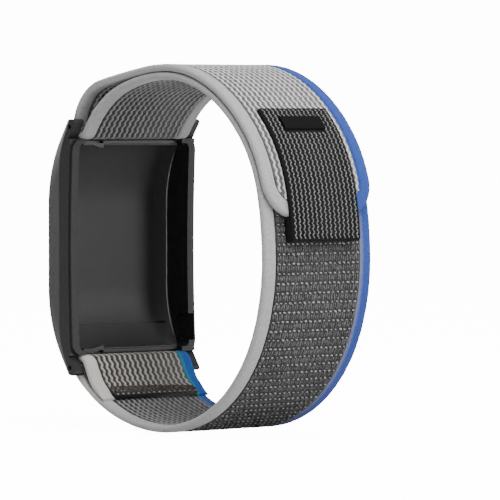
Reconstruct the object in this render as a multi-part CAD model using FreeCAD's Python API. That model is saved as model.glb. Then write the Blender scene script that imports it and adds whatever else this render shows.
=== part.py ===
import FreeCAD, Part
import math
import os

# Woven hook-and-loop wristband with an empty carrier case for a fitness tracker. Millimetres.
# Origin: centre of the wrist loop. +X towards the pull tab, +Y along the wrist towards the blue
# edge, +Z up. The case stands at -X and its pocket opens towards the wrist.

# Strap
strap_width = 24.0
strap_thickness = 1.2
selvedge_width = 2.7
pile_depth = 0.3            # loop pile woven into the outer face
hook_depth = 0.3            # hook patch let into the underside of the flap
keel = (-0.3, -31.0)        # lowest point of the strap's middle line
lower_quarter = (19.85, -22.7, 45.7)   # a point between keel and side, and its heading
side = (28.1, -1.3)         # rightmost point
upper_quarter = (22.2, 19.8, 129.0)
crown = (1.2, 30.2)         # highest point of the inner layer
leave_lower_bar = -42.0     # headings in degrees, anticlockwise from +X
meet_upper_bar = 237.0
fold_reach = 9.0            # how far the sewn-back end reaches along the strap
fold_lift_off = 6.5         # where it starts to rise towards the lower bar
fold_meets_bar = 118.0
fold_gap = 0.1
seam_length = 2.2
seam_from_end = 0.2
seam_height = 0.25
seam_width = 18.0
pile_start = 10.5           # from the lower bar, along the strap
pile_past_crown = 12.0

# Flap: the strap after its turn round the upper bar
flap_gap = 0.2              # between the flap and the layer below it
flap_leaves_bar = 81.0      # heading
flap_join = 5.5             # past the crown, where the flap settles on the inner layer
flap_tip_above_side = 7.05  # along the strap
flap_corner = 6.5
clear_of_strap = 6.0        # how far the blocks that trim flap and tab reach past them
hook_length = 14.0
hook_from_tip = 3.6

# Pull tab
tab_width = 15.0
tab_thickness = 0.9
tab_on_flap = 19.9          # length that lies on the flap
tab_past_tip = 3.9          # length of the folded grip beyond the flap
tab_seat = 0.05
tab_corner = 1.0
tab_bar_width = 9.0
tab_bar_length = 2.7
tab_bar_from_top = 2.0
tab_bar_height = 0.35

# Spring bars
bar_tube_radius = 0.75
bar_tube_bore = 0.55
bar_wrap_gap = 0.25         # between the tube and the strap round it
running_gap = 0.05          # radial, for necks in tubes and pins in lug holes
pin_radius = 0.4
pin_engaged = 1.1           # length of pin inside the lug
pin_travel = 1.15
shoulder_radius = 0.7
shoulder_length = 0.4
shoulder_to_lug = 0.2
neck_length = 3.0
spring_radius = 0.36
spring_wire = 0.12
spring_turns = 20
spring_end_gap = 0.03

# Case
case_depth = 7.85           # rim at mid height to the outer face
rim_face = 22.0             # wrist-side rim at mid height, distance from the loop's centre
rim_bow = 0.6               # how much the rim rises towards the wrist at its ends
rim_past_wall = 0.25        # how far the rim reaches beyond the end wall
lug_thickness = 2.0
strap_side_gap = 0.2
wall_end = 18.3             # half length of the pocket
case_bend_radius = 22.0
lug_lean = 33.0             # from +Z
lug_outer_cover = 2.35      # bar centre to the lug's outer line
lug_inner_cover = 0.92      # bar centre to the lug's wrist-side line
lug_inner_lean = 35.0
lug_tip_height = 1.35       # above the bar centre
lug_tip_round = 0.5
bar_below_rim = 0.2
strap_to_wall = 0.25        # room between the wrapped strap and the case's end wall
bevel_reach = 0.9           # how far the slanted side facets come in
crease_depth = 3.2          # rim to the crease between side wall and slanted facet
crease_lean = 28.0
crease_cover = 0.55         # bar centre to the crease line on a lug
crease_radius = 14.0
case_edge_bevel = 0.5
floor_thickness = 1.2
rim_to_rim = 40.0           # depth past the rim that clears the whole case
clear_of_case = 5.0         # how far cutters reach past the case
floor_cove_radius = 5.0
floor_cove_rise = 0.8
groove_position = -14.1
groove_size = 0.3
groove_margin = 1.0         # from the groove's ends to the pocket's sides
end_wall_top = 1.4          # below the rim
end_wall_crest = 0.35       # thickness of the case's end wall at its top
ramp_rise = 1.45            # how far the end wall's ramp runs out by the case's outer face

# Frame that lines the pocket
wall_to_side = 1.7          # pocket side to case side
frame_wall = 0.7
frame_end_wall = 0.5
frame_seat = 0.05
flange_thickness = 0.6
flange_inset = 0.2
flange_seat = 0.02
flange_corner = 2.0
pocket_corner = 1.0
frame_gap_near = -11.1      # the flange stands open between these two along Y
frame_gap_far = 10.8
scoop_position = -14.8
scoop_half_width = 2.4
scoop_depth = 4.0
scoop_skin = 0.5
scoop_roundness = 0.98      # corner radius as a share of the scoop's half width
end_gap_seat = 0.2          # the flange's end gaps stop this far above the case's end wall
end_gap_depth = 2.0         # and reach this far into the pocket
notch_position = -12.3
notch_length = 0.8
notch_width = 0.35

# Retainer lips and snap fingers at the pocket's ends
lip_radius = 0.28
lip_inward = 0.15           # lip centre, from the pocket's end wall towards the floor's middle
lip_plate = 0.3             # thickness of the plate that carries the lip
lip_depth = 0.6             # plate's wrist side, below the rim
lip_near = -6.3
lip_far_gap = 0.2
finger_thickness = 0.75
finger_height = 0.9
finger_below_rim = 0.85     # its wrist side, below the rim at the pocket's ends
finger_gap = 0.1
finger_straight = 1.9
finger_step = 0.45
finger_tip = -7.2
finger_bead = 0.42
finger_bend = 0.8           # radius of its first bend

# Derived sizes
case_back = rim_face + case_depth
half_strap = strap_width / 2
half_body = half_strap - selvedge_width
half_thick = strap_thickness / 2
core_back = half_thick - pile_depth
lug_gap_half = half_strap + strap_side_gap
case_half = lug_gap_half + lug_thickness
facet_half = case_half - bevel_reach
pocket_half = case_half - wall_to_side
wrap_radius = bar_tube_radius + bar_wrap_gap + half_thick
end_wall_face = wall_end + frame_end_wall + frame_seat
bar_x = -rim_face - bar_below_rim
bar_z = end_wall_face + strap_to_wall + wrap_radius + half_thick
flap_lift = strap_thickness + flap_gap
fold_lift = strap_thickness + fold_gap
lug_hole_radius = pin_radius + running_gap
neck_radius = bar_tube_bore - running_gap
rim_half_length = end_wall_face + rim_past_wall
rim_radius = (rim_half_length ** 2 + rim_bow ** 2) / (2 * rim_bow)


# ---- Paths in the XZ plane: chains of (x, z, heading, bend, length), bend positive to the left ----

def along(piece, distance):
    """Place and heading at a distance along one straight run or arc."""
    x, z, heading, bend, _ = piece
    if abs(bend) < 1e-9:
        return x + distance * math.cos(heading), z + distance * math.sin(heading), heading
    turned = heading + bend * distance
    new_x = x + (math.sin(turned) - math.sin(heading)) / bend
    new_z = z - (math.cos(turned) - math.cos(heading)) / bend
    return new_x, new_z, turned


def arc_to(start, x, z):
    """The arc that leaves a place on its heading and ends at a point."""
    chord = math.hypot(x - start[0], z - start[1])
    lean = math.atan2(z - start[1], x - start[0]) - start[2]
    lean = math.remainder(lean, 2 * math.pi)
    if abs(lean) < 1e-7:
        return (*start, 0.0, chord)
    bend = 2 * math.sin(lean) / chord
    return (*start, bend, 2 * lean / bend)


def two_arcs(start, end):
    """Two arcs that join two places, tangent to both headings and to each other."""
    gap = (end[0] - start[0], end[1] - start[1])
    first = (math.cos(start[2]), math.sin(start[2]))
    last = (math.cos(end[2]), math.sin(end[2]))
    square = gap[0] ** 2 + gap[1] ** 2
    forward = gap[0] * (first[0] + last[0]) + gap[1] * (first[1] + last[1])
    spread = 2 * (1 - first[0] * last[0] - first[1] * last[1])
    if spread < 1e-9:
        reach = square / (2 * forward)
    else:
        reach = (math.sqrt(forward ** 2 + spread * square) - forward) / spread
    middle_x = (start[0] + end[0] + reach * (first[0] - last[0])) / 2
    middle_z = (start[1] + end[1] + reach * (first[1] - last[1])) / 2
    one = arc_to(start, middle_x, middle_z)
    return [one, arc_to(along(one, one[4]), end[0], end[1])]


def chain_length(chain):
    return sum(piece[4] for piece in chain)


def chain_place(chain, distance):
    for piece in chain:
        if distance <= piece[4]:
            return along(piece, distance)
        distance -= piece[4]
    return along(chain[-1], chain[-1][4] + distance)


def clip(chain, start, end):
    """The stretch of a chain between two distances."""
    kept = []
    passed = 0.0
    for piece in chain:
        low = max(start - passed, 0.0)
        high = min(end - passed, piece[4])
        if high - low > 1e-6:
            kept.append((*along(piece, low), piece[3], high - low))
        passed += piece[4]
    return kept


def shift(chain, distance):
    """The same chain moved to its left by a distance."""
    moved = []
    for x, z, heading, bend, length in chain:
        scale = 1 - bend * distance
        new_x = x - distance * math.sin(heading)
        new_z = z + distance * math.cos(heading)
        moved.append((new_x, new_z, heading, bend / scale, length * scale))
    return moved


def turn_back(chain):
    """The same chain run from its end to its start."""
    back = []
    for piece in reversed(chain):
        x, z, heading = along(piece, piece[4])
        back.append((x, z, heading + math.pi, -piece[3], piece[4]))
    return back


def piece_edge(piece, y):
    points = []
    for share in (0.0, 0.5, 1.0):
        x, z, _ = along(piece, share * piece[4])
        points.append(FreeCAD.Vector(x, y, z))
    if abs(piece[3]) < 1e-6:
        return Part.LineSegment(points[0], points[2]).toShape()
    return Part.Arc(*points).toShape()


def ribbon(chain, runs, low_y, high_y):
    """A closed strip: each run is (offset to the left, from, to), joined end to end."""
    edges = []
    for offset, start, end in runs:
        stretch = shift(clip(chain, min(start, end), max(start, end)), offset)
        if start > end:
            stretch = turn_back(stretch)
        edges.append([piece_edge(piece, low_y) for piece in stretch])
    wire_edges = []
    for index, run in enumerate(edges):
        wire_edges.extend(run)
        end_point = run[-1].Vertexes[-1].Point
        next_point = edges[(index + 1) % len(edges)][0].Vertexes[0].Point
        if end_point.distanceToPoint(next_point) > 1e-6:
            wire_edges.append(Part.LineSegment(end_point, next_point).toShape())
    face = Part.Face(Part.Wire(wire_edges))
    return face.extrude(FreeCAD.Vector(0, high_y - low_y, 0))


def plain_ribbon(chain, start, end, low, high, low_y, high_y):
    return ribbon(chain, [(high, start, end), (low, end, start)], low_y, high_y)


# ---- Outlines with rounded corners ----

def rounded_wire(corners, place):
    """Corners are (u, v, radius); place turns (u, v) into a point."""
    count = len(corners)
    rounded = []
    for index, (u, v, radius) in enumerate(corners):
        before = corners[index - 1]
        after = corners[(index + 1) % count]
        to_before = (before[0] - u, before[1] - v)
        to_after = (after[0] - u, after[1] - v)
        size_before = math.hypot(*to_before)
        size_after = math.hypot(*to_after)
        unit_before = (to_before[0] / size_before, to_before[1] / size_before)
        unit_after = (to_after[0] / size_after, to_after[1] / size_after)
        if radius == 0:
            rounded.append([(u, v)])
            continue
        inner = math.acos(unit_before[0] * unit_after[0] + unit_before[1] * unit_after[1])
        cut = radius / math.tan(inner / 2)
        middle = radius / math.sin(inner / 2) - radius
        bisector = (unit_before[0] + unit_after[0], unit_before[1] + unit_after[1])
        size = math.hypot(*bisector)
        rounded.append([
            (u + cut * unit_before[0], v + cut * unit_before[1]),
            (u + middle * bisector[0] / size, v + middle * bisector[1] / size),
            (u + cut * unit_after[0], v + cut * unit_after[1]),
        ])
    edges = []
    for index, points in enumerate(rounded):
        if len(points) == 3:
            edges.append(Part.Arc(*[place(*point) for point in points]).toShape())
        start = place(*points[-1])
        end = place(*rounded[(index + 1) % count][0])
        edges.append(Part.LineSegment(start, end).toShape())
    return Part.Wire(edges)


def on_side(y):
    return lambda x, z: FreeCAD.Vector(x, y, z)


def on_wrist_plane(x):
    return lambda y, z: FreeCAD.Vector(x, y, z)


def prism(corners, place, direction):
    return Part.Face(rounded_wire(corners, place)).extrude(direction)


def profile_solid(corners, low_y, high_y):
    return prism(corners, on_side(low_y), FreeCAD.Vector(0, high_y - low_y, 0))


def wrist_block(corners, low_x, high_x):
    return prism(corners, on_wrist_plane(low_x), FreeCAD.Vector(high_x - low_x, 0, 0))


def box(low, high):
    size = [b - a for a, b in zip(low, high)]
    return Part.makeBox(*size, FreeCAD.Vector(*low))


def rod(radius, low_y, high_y, x, z):
    return Part.makeCylinder(radius, high_y - low_y, FreeCAD.Vector(x, low_y, z), FreeCAD.Vector(0, 1, 0))


def flip(shape):
    """The mirror image below the middle plane."""
    return shape.mirror(FreeCAD.Vector(0, 0, 0), FreeCAD.Vector(0, 0, 1))


def rectangle(half_y, low_z, high_z, radius):
    return [
        (-half_y, low_z, radius),
        (half_y, low_z, radius),
        (half_y, high_z, radius),
        (-half_y, high_z, radius),
    ]


def save(shape, node):
    shape.exportStep("parts/" + node + ".step")


# ---- Strap paths ----

def bar_place(heading, centre_z, side_of_bar):
    """Where a strap on this heading touches its wrap circle round a bar; side 1 has the bar to its left."""
    x = bar_x + side_of_bar * wrap_radius * math.sin(heading)
    z = centre_z - side_of_bar * wrap_radius * math.cos(heading)
    return x, z, heading


def base_chain():
    places = [
        bar_place(math.radians(leave_lower_bar), -bar_z, 1),
        (*keel, 0.0),
        (*lower_quarter[:2], math.radians(lower_quarter[2])),
        (*side, math.pi / 2),
        (*upper_quarter[:2], math.radians(upper_quarter[2])),
        (*crown, math.pi),
        bar_place(math.radians(meet_upper_bar), bar_z, -1),
    ]
    chain = []
    marks = []
    for start, end in zip(places, places[1:]):
        chain += two_arcs(start, end)
        marks.append(chain_length(chain))
    return chain, marks[2], marks[4]


def fold_chain(base):
    """The sewn-back end: along the strap's wrist side, over the lower bar and round it."""
    lying = turn_back(shift(clip(base, fold_lift_off, fold_reach), fold_lift))
    lifted = along(lying[-1], lying[-1][4])
    meets = bar_place(math.radians(fold_meets_bar), -bar_z, 1)
    sweep = math.radians(360 + leave_lower_bar - fold_meets_bar)
    wrap = (*meets, 1 / wrap_radius, wrap_radius * sweep)
    return lying + two_arcs(lifted, meets) + [wrap]


def turn_chain():
    start = bar_place(math.radians(meet_upper_bar), bar_z, -1)
    sweep = math.radians(meet_upper_bar - flap_leaves_bar)
    return [(*start, -1 / wrap_radius, wrap_radius * sweep)]


def flap_chain(base, at_side, at_crown):
    """From the upper bar over the inner layer to the end of the pull tab's grip."""
    grip_end = at_side + flap_tip_above_side - tab_past_tip
    lying = turn_back(shift(clip(base, grip_end, at_crown + flap_join), -flap_lift))
    start = bar_place(math.radians(flap_leaves_bar), bar_z, -1)
    return two_arcs(start, lying[0][:3]) + lying


base, at_side, at_crown = base_chain()
fold = fold_chain(base)
strap = fold + base
strap_total = chain_length(strap)
strap_start = chain_length(fold)
turn = turn_chain()
turn_total = chain_length(turn)
flap = flap_chain(base, at_side, at_crown)
grip_tip = chain_length(flap)
tip_place = at_side + flap_tip_above_side
flap_tip = grip_tip - chain_length(shift(clip(base, tip_place - tab_past_tip, tip_place), -flap_lift))


# ---- Strap pieces ----

def make_strap():
    pile_low = strap_start + pile_start
    pile_high = strap_start + at_crown + pile_past_crown
    core_runs = [
        (half_thick, 0, strap_total),
        (-half_thick, strap_total, pile_high),
        (-core_back, pile_high, pile_low),
        (-half_thick, pile_low, 0),
    ]
    save(ribbon(strap, core_runs, -half_body, half_body), "strap_core")
    pile = plain_ribbon(strap, pile_low, pile_high, -half_thick, -core_back, -half_body, half_body)
    save(pile, "strap_pile")
    for name, low, high in (("grey", -half_strap, -half_body), ("blue", half_body, half_strap)):
        edge = plain_ribbon(strap, 0, strap_total, -half_thick, half_thick, low, high)
        save(edge, "strap_edge_" + name)
        corner = plain_ribbon(turn, 0, turn_total, -half_thick, half_thick, low, high)
        save(corner, "turn_edge_" + name)
    core = plain_ribbon(turn, 0, turn_total, -half_thick, half_thick, -half_body, half_body)
    save(core, "turn_core")
    seam_end = seam_from_end + seam_length
    top = -half_thick - seam_height
    save(
        plain_ribbon(strap, seam_from_end, seam_end, top, -half_thick, -seam_width / 2, seam_width / 2),
        "end_seam",
    )


def make_flap():
    tip_z = chain_place(flap, flap_tip)[1]
    above = crown[1] + clear_of_strap
    reach = side[0] + clear_of_strap
    outer = wrist_block(tip_outline(half_strap, tip_z, flap_corner, above), -reach, reach)
    inner_corner = flap_corner - selvedge_width
    inner = wrist_block(
        tip_outline(half_body, tip_z + selvedge_width, inner_corner, above), -reach, reach
    )
    hook_end = flap_tip - hook_from_tip
    hook_start = hook_end - hook_length
    core_runs = [
        (half_thick, 0, flap_tip),
        (-half_thick, flap_tip, hook_end),
        (hook_depth - half_thick, hook_end, hook_start),
        (-half_thick, hook_start, 0),
    ]
    save(ribbon(flap, core_runs, -half_body, half_body).common(inner), "flap_core")
    hook = plain_ribbon(
        flap, hook_start, hook_end, -half_thick, hook_depth - half_thick, -half_body, half_body
    )
    save(hook.common(inner), "hook_patch")
    border = outer.cut(inner)
    for name, low, high in (("grey", -half_strap, 0), ("blue", 0, half_strap)):
        edge = plain_ribbon(flap, 0, flap_tip, -half_thick, half_thick, low, high)
        save(edge.common(border), "flap_edge_" + name)


def tip_outline(half_width, low_z, corner, high_z):
    return [
        (-half_width, low_z, corner),
        (half_width, low_z, corner),
        (half_width, high_z, 0),
        (-half_width, high_z, 0),
    ]


def make_tab():
    """A webbing tab bonded to the flap; beyond the flap's tip it is folded under as a grip."""
    half = tab_width / 2
    low = half_thick + tab_seat
    high = low + tab_thickness
    start = flap_tip - tab_on_flap
    under_start = flap_tip + fold_gap
    runs = [
        (high, start, grip_tip),
        (-half_thick, grip_tip, under_start),
        (low, under_start, start),
    ]
    body = ribbon(flap, runs, -half, half)
    lowest_z = chain_place(flap, grip_tip)[1]
    reach = side[0] + clear_of_strap
    above = chain_place(flap, start)[1] + 2 * tab_corner
    outline = rectangle(half, lowest_z, above, tab_corner)
    save(body.common(wrist_block(outline, 0, reach)), "pull_tab")
    bar_start = start + tab_bar_from_top
    bar_end = bar_start + tab_bar_length
    bar_high = high + tab_bar_height
    plate = plain_ribbon(flap, bar_start, bar_end, high, bar_high, -tab_bar_width / 2, tab_bar_width / 2)
    save(plate, "tab_bar")


# ---- Spring bars ----

def make_bar(name, z):
    shoulder_end = lug_gap_half - shoulder_to_lug
    shoulder_start = shoulder_end - shoulder_length
    tube_end = shoulder_start - pin_travel - running_gap
    neck_start = shoulder_start - neck_length
    tube = rod(bar_tube_radius, -tube_end, tube_end, bar_x, z)
    tube = tube.cut(rod(bar_tube_bore, -tube_end, tube_end, bar_x, z))
    save(tube, name + "_bar_tube")
    tip = rod(neck_radius, neck_start, shoulder_start, bar_x, z)
    tip = tip.fuse(rod(shoulder_radius, shoulder_start, shoulder_end, bar_x, z))
    tip = tip.fuse(rod(pin_radius, shoulder_end, lug_gap_half + pin_engaged, bar_x, z))
    tip = tip.removeSplitter()
    save(tip, name + "_bar_tip_far")
    save(tip.mirror(FreeCAD.Vector(0, 0, 0), FreeCAD.Vector(0, 1, 0)), name + "_bar_tip_near")
    half_spring = neck_start - spring_wire / 2 - spring_end_gap
    height = 2 * half_spring
    helix = Part.makeHelix(height / spring_turns, height, spring_radius)
    section = Part.makeCircle(
        spring_wire / 2, FreeCAD.Vector(spring_radius, 0, 0), FreeCAD.Vector(0, 1, 0)
    )
    spring = Part.Wire(helix).makePipeShell([Part.Wire(section)], True, True)
    spring.rotate(FreeCAD.Vector(0, 0, 0), FreeCAD.Vector(1, 0, 0), -90)
    spring.translate(FreeCAD.Vector(bar_x, -half_spring, z))
    save(spring, name + "_bar_spring")


# ---- Case ----

def line_meets(x, z, lean, other_x):
    """Height at which a line through (x, z), leaning from +Z, crosses a given X."""
    return z + (other_x - x) / math.tan(math.radians(lean))


def line_at(x, z, lean, other_z):
    return x + (other_z - z) * math.tan(math.radians(lean))


def beside_bar(distance, lean):
    """A point level with the bar, at a distance square to a line with this lean."""
    angle = math.radians(lean)
    return bar_x - distance * math.cos(angle), bar_z + distance * math.sin(angle)


def rim_at(z):
    return -rim_face + rim_radius - math.sqrt(rim_radius ** 2 - z ** 2)


def side_profile(back_x, back_radius, lug_cover, lean):
    """The case seen along the wrist: outer face, lugs and the wrist side."""
    tip_z = bar_z + lug_tip_height
    outer = beside_bar(lug_cover, lean)
    inner = beside_bar(-lug_inner_cover, lug_inner_lean)
    root_z = rim_half_length + frame_seat
    ledge = rim_at(rim_half_length) - flange_thickness
    upper = [
        (ledge, root_z, 0),
        (line_at(*inner, lug_inner_lean, root_z), root_z, 0),
        (line_at(*inner, lug_inner_lean, tip_z), tip_z, lug_tip_round),
        (line_at(*outer, lean, tip_z), tip_z, lug_tip_round),
        (back_x, line_meets(*outer, lean, back_x), back_radius),
    ]
    lower = [(x, -z, radius) for x, z, radius in reversed(upper)]
    return upper + lower


def outer_profile(inset):
    """The full side profile with its outer face and lugs drawn in by an inset."""
    return side_profile(
        -case_back + inset, case_bend_radius - inset, lug_outer_cover - inset, lug_lean
    )


def rim_slab(low, high):
    """The bowed layer between two depths below the rim, 0 being the rim itself."""
    inner = rim_radius + low
    outer = rim_radius + high
    half = case_half + clear_of_case
    centre = FreeCAD.Vector(-rim_face + rim_radius, -half, 0)
    axis = FreeCAD.Vector(0, 1, 0)
    slab = Part.makeCylinder(outer, 2 * half, centre, axis)
    slab = slab.cut(Part.makeCylinder(inner, 2 * half, centre, axis))
    reach = rim_half_length + clear_of_case
    return slab.common(box((-rim_face - high - 1, -half, -reach), (-rim_face + reach, half, reach)))


def floor_path(height):
    """The pocket floor's line, or one at a height above it, drawn past both ends of the pocket."""
    depth = floor_thickness + height
    outer = beside_bar(lug_outer_cover - depth, lug_lean)
    x = -case_back + depth
    corner = line_meets(*outer, lug_lean, x)
    radius = case_bend_radius - depth
    cut = radius * math.tan(math.radians(lug_lean) / 2)
    end_z = bar_z + 2
    end_x = line_at(*outer, lug_lean, end_z)
    heading = math.pi / 2
    lean = math.radians(lug_lean)
    bend_end = (x + cut * math.sin(lean), corner + cut * math.cos(lean))
    straight = math.hypot(end_x - bend_end[0], end_z - bend_end[1])
    half = [
        (x, 0.0, heading, 0.0, corner - cut),
        (x, corner - cut, heading, -1 / radius, radius * lean),
        (*bend_end, heading - lean, 0.0, straight),
    ]
    lower = []
    for piece in reversed(half):
        end = along(piece, piece[4])
        lower.append((end[0], -end[1], math.pi - end[2], piece[3], piece[4]))
    return lower + half


def floor_at(z):
    """X of the pocket floor at a height."""
    flat, bend, _ = floor_path(0)[3:]
    past = max(abs(z) - bend[1], 0.0)
    radius = -1 / bend[3]
    return flat[0] + radius - math.sqrt(radius ** 2 - past ** 2)


def floor_cavity():
    """What lies above the floor: flat across, with a cove up to each side wall."""
    path = Part.Wire([piece_edge(piece, 0) for piece in floor_path(0)])
    start = floor_path(0)[0]
    out_x = math.sin(start[2])
    out_z = -math.cos(start[2])
    arc = math.acos(1 - floor_cove_rise / floor_cove_radius)
    flat = pocket_half - floor_cove_radius * math.sin(arc)

    def place(y, height):
        return FreeCAD.Vector(start[0] + height * out_x, y, start[1] + height * out_z)

    def cove(sign):
        points = []
        for share in (0.0, 0.5, 1.0):
            angle = share * arc
            y = flat + floor_cove_radius * math.sin(angle)
            points.append(place(sign * y, floor_cove_radius * (1 - math.cos(angle))))
        return points

    left = cove(-1)
    right = cove(1)
    top = floor_cove_rise + 1
    edges = [
        Part.Arc(*reversed(left)).toShape(),
        Part.LineSegment(left[0], right[0]).toShape(),
        Part.Arc(*right).toShape(),
        Part.LineSegment(right[2], place(pocket_half, top)).toShape(),
        Part.LineSegment(place(pocket_half, top), place(-pocket_half, top)).toShape(),
        Part.LineSegment(place(-pocket_half, top), left[2]).toShape(),
    ]
    return path.makePipeShell([Part.Wire(edges)], True, False)


def above_floor(height, half_y):
    """Everything on the wrist side of a line at a height above the floor."""
    path = floor_path(height)
    wire_edges = [piece_edge(piece, -half_y) for piece in path]
    start = wire_edges[0].Vertexes[0].Point
    end = wire_edges[-1].Vertexes[-1].Point
    far_x = 0.0
    corner_low = FreeCAD.Vector(far_x, -half_y, start.z)
    corner_high = FreeCAD.Vector(far_x, -half_y, end.z)
    wire_edges.append(Part.LineSegment(end, corner_high).toShape())
    wire_edges.append(Part.LineSegment(corner_high, corner_low).toShape())
    wire_edges.append(Part.LineSegment(corner_low, start).toShape())
    return Part.Face(Part.Wire(wire_edges)).extrude(FreeCAD.Vector(0, 2 * half_y, 0))


def scoop_cutter():
    """The thumb scoop: a round-ended slot cut down from the rim into the far wall."""
    top = -rim_face + 2 * rim_bow
    bottom = -rim_face - scoop_depth
    corners = [
        (bottom, scoop_position - scoop_half_width, scoop_half_width * scoop_roundness),
        (bottom, scoop_position + scoop_half_width, scoop_half_width * scoop_roundness),
        (top, scoop_position + scoop_half_width, 0),
        (top, scoop_position - scoop_half_width, 0),
    ]
    return profile_solid(corners, pocket_half - 1, case_half - scoop_skin)


def make_shell():
    facet_slope = bevel_reach / (case_back - rim_face - crease_depth)
    outlines = [
        (facet_half - case_edge_bevel, outer_profile(0.0)),
        (facet_half + case_edge_bevel * facet_slope, outer_profile(case_edge_bevel)),
        (case_half, side_profile(-rim_face - crease_depth, crease_radius, crease_cover, crease_lean)),
    ]
    body = profile_solid(outlines[0][1], -outlines[0][0], outlines[0][0])
    for sign in (-1, 1):
        for inner, outer in zip(outlines, outlines[1:]):
            sections = [rounded_wire(corners, on_side(sign * y)) for y, corners in (inner, outer)]
            body = body.fuse(Part.makeLoft(sections, True, True))
    body = body.removeSplitter()
    seat_half = case_half - wall_to_side + frame_wall + frame_seat
    pocket = above_floor(floor_cove_rise, case_half + clear_of_case)
    pocket = pocket.common(
        wrist_block(rectangle(seat_half, -end_wall_face, end_wall_face, pocket_corner + frame_wall),
                    -case_back, 0)
    )
    well = floor_cavity().common(
        box((-case_back, -case_half, -wall_end), (0, case_half, wall_end))
    )
    body = body.cut(pocket).cut(well)
    flange_end = rim_half_length + frame_seat
    over_rim = box((-rim_face - clear_of_case, -case_half - clear_of_case, -flange_end),
                   (0, case_half + clear_of_case, flange_end))
    body = body.cut(over_rim.cut(rim_slab(flange_thickness, rim_to_rim)))
    crest = end_wall_face + end_wall_crest
    gap = [
        (0, end_wall_face, 0),
        (-rim_face - end_wall_top, end_wall_face, 0),
        (-rim_face - end_wall_top, crest, 0),
        (-case_back, crest + ramp_rise, 0),
        (-case_back, bar_z + clear_of_case, 0),
        (0, bar_z + clear_of_case, 0),
    ]
    slot = profile_solid(gap, -lug_gap_half, lug_gap_half)
    for opening in (slot, flip(slot)):
        body = body.cut(opening)
    for z in (bar_z, -bar_z):
        body = body.cut(rod(lug_hole_radius, -case_half - clear_of_case, case_half + clear_of_case, bar_x, z))
    groove_floor = floor_at(groove_position)
    groove_half = pocket_half - groove_margin
    groove = box((groove_floor - groove_size, -groove_half, groove_position - groove_size / 2),
                 (-rim_face, groove_half, groove_position + groove_size / 2))
    body = body.cut(groove)
    body = body.cut(scoop_cutter())
    save(body, "case_shell")


def make_frame():
    outer_half = pocket_half + frame_wall
    outer_end = wall_end + frame_end_wall
    ring = wrist_block(
        rectangle(outer_half, -outer_end, outer_end, pocket_corner + frame_wall), -case_back, 0
    )
    walls = ring.common(above_floor(floor_cove_rise + frame_seat, case_half + clear_of_case))
    walls = walls.common(rim_slab(0, rim_to_rim))
    flange = wrist_block(
        rectangle(case_half - flange_inset, -rim_half_length, rim_half_length, flange_corner),
        -case_back, 0,
    )
    flange = flange.common(rim_slab(0, flange_thickness - flange_seat))
    opening = wrist_block(
        rectangle(pocket_half, -wall_end, wall_end, pocket_corner),
        -case_back - clear_of_case, clear_of_case,
    )
    body = walls.fuse(flange).cut(opening)
    low_x = -rim_face - end_wall_top + end_gap_seat
    low_z = wall_end - end_gap_depth
    gap = box((low_x, frame_gap_near, low_z), (0, frame_gap_far, rim_half_length + clear_of_case))
    body = body.cut(gap).cut(flip(gap))
    body = body.cut(scoop_cutter())
    notch = box(
        (-case_back, -pocket_half - notch_width, notch_position - notch_length / 2),
        (0, -pocket_half + 1, notch_position + notch_length / 2),
    )
    body = body.cut(notch)
    save(body.removeSplitter(), "pocket_frame")


def make_lips():
    """Plates that lie on the pocket's end walls, each with a round lip along its inner edge."""
    seat_x = -rim_face - end_wall_top + end_gap_seat
    plate_x = -rim_face - lip_depth
    lip_far = frame_gap_far - lip_far_gap
    lip_x = plate_x - lip_radius
    lip_z = wall_end - lip_inward
    lip = rod(lip_radius, lip_near, lip_far, lip_x, lip_z)
    web = box((seat_x, lip_near, wall_end), (plate_x, lip_far, wall_end + frame_end_wall))
    plate = box((lip_x - lip_plate / 2, lip_near, lip_z), (lip_x + lip_plate / 2, lip_far, wall_end))
    lip = lip.fuse(web).fuse(plate).removeSplitter()
    save(lip, "upper_retainer")
    save(flip(lip), "lower_retainer")


def make_fingers():
    high_x = -rim_face - finger_below_rim + rim_bow
    low_x = high_x - finger_height
    start_y = frame_gap_near + finger_gap
    bend_y = start_y + finger_straight
    top = wall_end + frame_end_wall
    bottom = top - finger_thickness
    outline = [
        (start_y, bottom, 0),
        (bend_y, bottom, finger_bend),
        (finger_tip, bottom - finger_step, finger_bend / 2),
        (finger_tip + finger_bead, bottom - finger_step, 0),
        (finger_tip + finger_bead, top - finger_step, 0),
        (finger_tip, top - finger_step, finger_bend / 2),
        (bend_y + finger_bend / 4, top, finger_bend),
        (start_y, top, 0),
    ]
    finger = wrist_block(outline, low_x, high_x)
    bead_z = (top + bottom) / 2 - finger_step
    bead = Part.makeCylinder(
        finger_bead, finger_height,
        FreeCAD.Vector(low_x, finger_tip + finger_bead, bead_z), FreeCAD.Vector(1, 0, 0),
    )
    finger = finger.fuse(bead).removeSplitter()
    save(finger, "upper_snap_finger")
    save(flip(finger), "lower_snap_finger")


os.makedirs("parts", exist_ok=True)
make_strap()
make_flap()
make_tab()
make_bar("upper", bar_z)
make_bar("lower", -bar_z)
make_shell()
make_frame()
make_lips()
make_fingers()
print("strap length", round(strap_total + turn_total + flap_tip, 1))
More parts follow.
